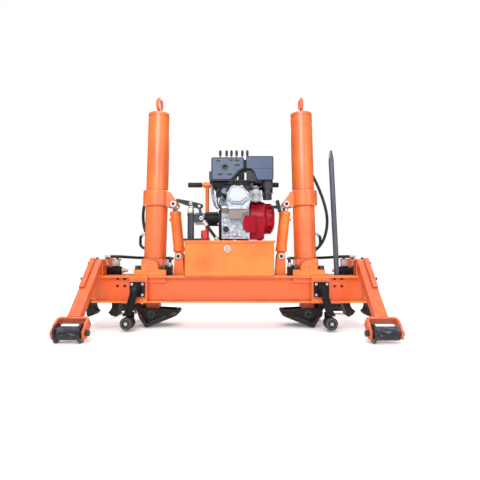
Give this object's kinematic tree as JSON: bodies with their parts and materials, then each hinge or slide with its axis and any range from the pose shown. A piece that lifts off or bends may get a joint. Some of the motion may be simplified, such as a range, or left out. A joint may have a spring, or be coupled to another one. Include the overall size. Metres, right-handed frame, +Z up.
{
  "type": "hydraulic rail trolley",
  "caption": "Motorised hydraulic track lifting and lining trolley: beam across the rails, upright lift cylinders with feet, rail claws, roller arms and an engine-driven power pack.",
  "frame": {"origin": "centre of the footprint at the level of the roller flanges' lowest points", "axes": "+X across the track to the right, -Y to the front with the levers behind the engine at +Y, +Z up"},
  "size_m": [1.696, 1.094, 1.3766],
  "materials": {
    "black_paint": "satin black paint",
    "black_plastic": "moulded plastic",
    "black_rubber": "matt rubber",
    "blue_grey_paint": "worn grey-blue paint",
    "chrome_rod": "hard chrome",
    "dark_steel": "blackened steel",
    "grey_shell": "dark grey coating",
    "orange_paint": "gloss orange paint",
    "red_paint": "gloss red enamel",
    "roller_iron": "black-painted iron, worn on the tread",
    "silver_cast": "cast aluminium",
    "steel": "machined steel"
  },
  "bodies": {
    "base": {"beam_frame": "orange_paint", "claw_pins": "dark_steel", "trunnion_blocks": "orange_paint", "oil_tank": "orange_paint", "tank_lid": "orange_paint", "sight_plug": "silver_cast", "filler_cap": "red_paint", "engine_mounts": "black_rubber", "engine_block": "silver_cast", "valve_cover": "silver_cast", "muffler": "grey_shell", "air_cleaner": "grey_shell", "fuel_tank": "black_paint", "fan_cover": "red_paint", "recoil_starter": "red_paint", "recoil_grip": "black_plastic", "carburettor": "silver_cast", "pump_adapter": "black_paint", "gear_pump": "silver_cast", "hand_pump": "steel", "hand_pump_lever": "silver_cast", "valve_block": "dark_steel", "valve_levers": "steel", "handle_frame": "orange_paint", "hand_grips": "black_rubber", "lining_brackets": "orange_paint", "clamp_cylinders": "black_paint", "clamp_fittings": "steel", "pry_bar": "blue_grey_paint", "roller_arms": "orange_paint", "roller_axles": "steel", "transfer_arms": "black_paint", "exhaust_elbow": "black_paint", "base_hoses": "black_rubber"},
    "roller_front_left": {"roller_front_left": "roller_iron"},
    "roller_front_right": {"roller_front_right": "roller_iron"},
    "roller_rear_left": {"roller_rear_left": "roller_iron"},
    "roller_rear_right": {"roller_rear_right": "roller_iron"},
    "transfer_wheel_front_left": {"transfer_wheel_front_left": "black_rubber"},
    "transfer_wheel_front_right": {"transfer_wheel_front_right": "black_rubber"},
    "transfer_wheel_rear_left": {"transfer_wheel_rear_left": "black_rubber"},
    "transfer_wheel_rear_right": {"transfer_wheel_rear_right": "black_rubber"},
    "lift_barrel_left": {"lift_barrel_left": "orange_paint", "lift_hose_left": "black_rubber", "lift_pipe_left": "black_paint"},
    "lift_rod_left": {"lift_rod_left": "chrome_rod"},
    "foot_left": {"foot_left": "black_paint"},
    "lining_barrel_left": {"lining_barrel_left": "orange_paint"},
    "lining_rod_left": {"lining_rod_left": "chrome_rod"},
    "lift_barrel_right": {"lift_barrel_right": "orange_paint", "lift_hose_right": "black_rubber", "lift_pipe_right": "black_paint"},
    "lift_rod_right": {"lift_rod_right": "chrome_rod"},
    "foot_right": {"foot_right": "black_paint"},
    "lining_barrel_right": {"lining_barrel_right": "orange_paint"},
    "lining_rod_right": {"lining_rod_right": "chrome_rod"},
    "claw_left_outer": {"claw_left_outer": "dark_steel"},
    "claw_left_inner": {"claw_left_inner": "dark_steel"},
    "claw_right_outer": {"claw_right_outer": "dark_steel"},
    "claw_right_inner": {"claw_right_inner": "dark_steel"}
  },
  "joints": [
    {"name": "roller_front_left_spin", "type": "hinge", "parent": "base", "child": "roller_front_left", "pos_m": [-0.75, -0.5, 0.047], "axis": [1, 0, 0], "continuous": true},
    {"name": "roller_front_right_spin", "type": "hinge", "parent": "base", "child": "roller_front_right", "pos_m": [0.75, -0.5, 0.047], "axis": [1, 0, 0], "continuous": true},
    {"name": "roller_rear_left_spin", "type": "hinge", "parent": "base", "child": "roller_rear_left", "pos_m": [-0.75, 0.5, 0.047], "axis": [1, 0, 0], "continuous": true},
    {"name": "roller_rear_right_spin", "type": "hinge", "parent": "base", "child": "roller_rear_right", "pos_m": [0.75, 0.5, 0.047], "axis": [1, 0, 0], "continuous": true},
    {"name": "transfer_wheel_front_left_spin", "type": "hinge", "parent": "base", "child": "transfer_wheel_front_left", "pos_m": [-0.555, -0.204, 0.046], "axis": [0, 1, 0], "continuous": true},
    {"name": "transfer_wheel_front_right_spin", "type": "hinge", "parent": "base", "child": "transfer_wheel_front_right", "pos_m": [0.555, -0.204, 0.046], "axis": [0, 1, 0], "continuous": true},
    {"name": "transfer_wheel_rear_left_spin", "type": "hinge", "parent": "base", "child": "transfer_wheel_rear_left", "pos_m": [-0.555, 0.204, 0.046], "axis": [0, 1, 0], "continuous": true},
    {"name": "transfer_wheel_rear_right_spin", "type": "hinge", "parent": "base", "child": "transfer_wheel_rear_right", "pos_m": [0.555, 0.204, 0.046], "axis": [0, 1, 0], "continuous": true},
    {"name": "left_lift_tilt", "type": "hinge", "parent": "base", "child": "lift_barrel_left", "pos_m": [-0.452, 0, 0.349], "axis": [0, 1, 0], "range_deg": [-8, 5]},
    {"name": "left_lift_stroke", "type": "slide", "parent": "lift_barrel_left", "child": "lift_rod_left", "axis": [-0.0236, 0, -0.9997], "range_m": [0, 0.22]},
    {"name": "left_foot_rock", "type": "hinge", "parent": "lift_rod_left", "child": "foot_left", "pos_m": [-0.45853, 0, 0.07208], "axis": [0, 1, 0], "range_deg": [-10, 10]},
    {"name": "left_lining_swing", "type": "hinge", "parent": "base", "child": "lining_barrel_left", "pos_m": [-0.303, 0, 0.411], "axis": [0, 1, 0], "range_deg": [-8.95, 5.61]},
    {"name": "left_lining_stroke", "type": "slide", "parent": "lining_barrel_left", "child": "lining_rod_left", "axis": [-0.103, 0, 0.9947], "range_m": [-0.01371, 0.02188]},
    {"name": "right_lift_tilt", "type": "hinge", "parent": "base", "child": "lift_barrel_right", "pos_m": [0.452, 0, 0.349], "axis": [0, 1, 0], "range_deg": [-5, 8]},
    {"name": "right_lift_stroke", "type": "slide", "parent": "lift_barrel_right", "child": "lift_rod_right", "axis": [0.0236, 0, -0.9997], "range_m": [0, 0.22]},
    {"name": "right_foot_rock", "type": "hinge", "parent": "lift_rod_right", "child": "foot_right", "pos_m": [0.45853, 0, 0.07208], "axis": [0, 1, 0], "range_deg": [-10, 10]},
    {"name": "right_lining_swing", "type": "hinge", "parent": "base", "child": "lining_barrel_right", "pos_m": [0.303, 0, 0.411], "axis": [0, 1, 0], "range_deg": [-5.61, 8.95]},
    {"name": "right_lining_stroke", "type": "slide", "parent": "lining_barrel_right", "child": "lining_rod_right", "axis": [0.103, 0, 0.9947], "range_m": [-0.01371, 0.02188]},
    {"name": "claw_left_outer_grip", "type": "hinge", "parent": "base", "child": "claw_left_outer", "pos_m": [-0.822, 0, 0.19], "axis": [0, 1, 0], "range_deg": [-13, 38]},
    {"name": "claw_left_inner_grip", "type": "hinge", "parent": "base", "child": "claw_left_inner", "pos_m": [-0.682, 0, 0.19], "axis": [0, -1, 0], "range_deg": [-13, 16]},
    {"name": "claw_right_outer_grip", "type": "hinge", "parent": "base", "child": "claw_right_outer", "pos_m": [0.822, 0, 0.19], "axis": [0, -1, 0], "range_deg": [-13, 38]},
    {"name": "claw_right_inner_grip", "type": "hinge", "parent": "base", "child": "claw_right_inner", "pos_m": [0.682, 0, 0.19], "axis": [0, 1, 0], "range_deg": [-1, 28]}
  ],
  "couplings": [
    {"joint": "left_lining_swing", "follows": "left_lift_tilt", "ratio": 1.112},
    {"joint": "left_lining_stroke", "follows": "left_lift_tilt", "m_per_rad": -0.156},
    {"joint": "right_lining_swing", "follows": "right_lift_tilt", "ratio": 1.112},
    {"joint": "right_lining_stroke", "follows": "right_lift_tilt", "m_per_rad": 0.156}
  ]
}
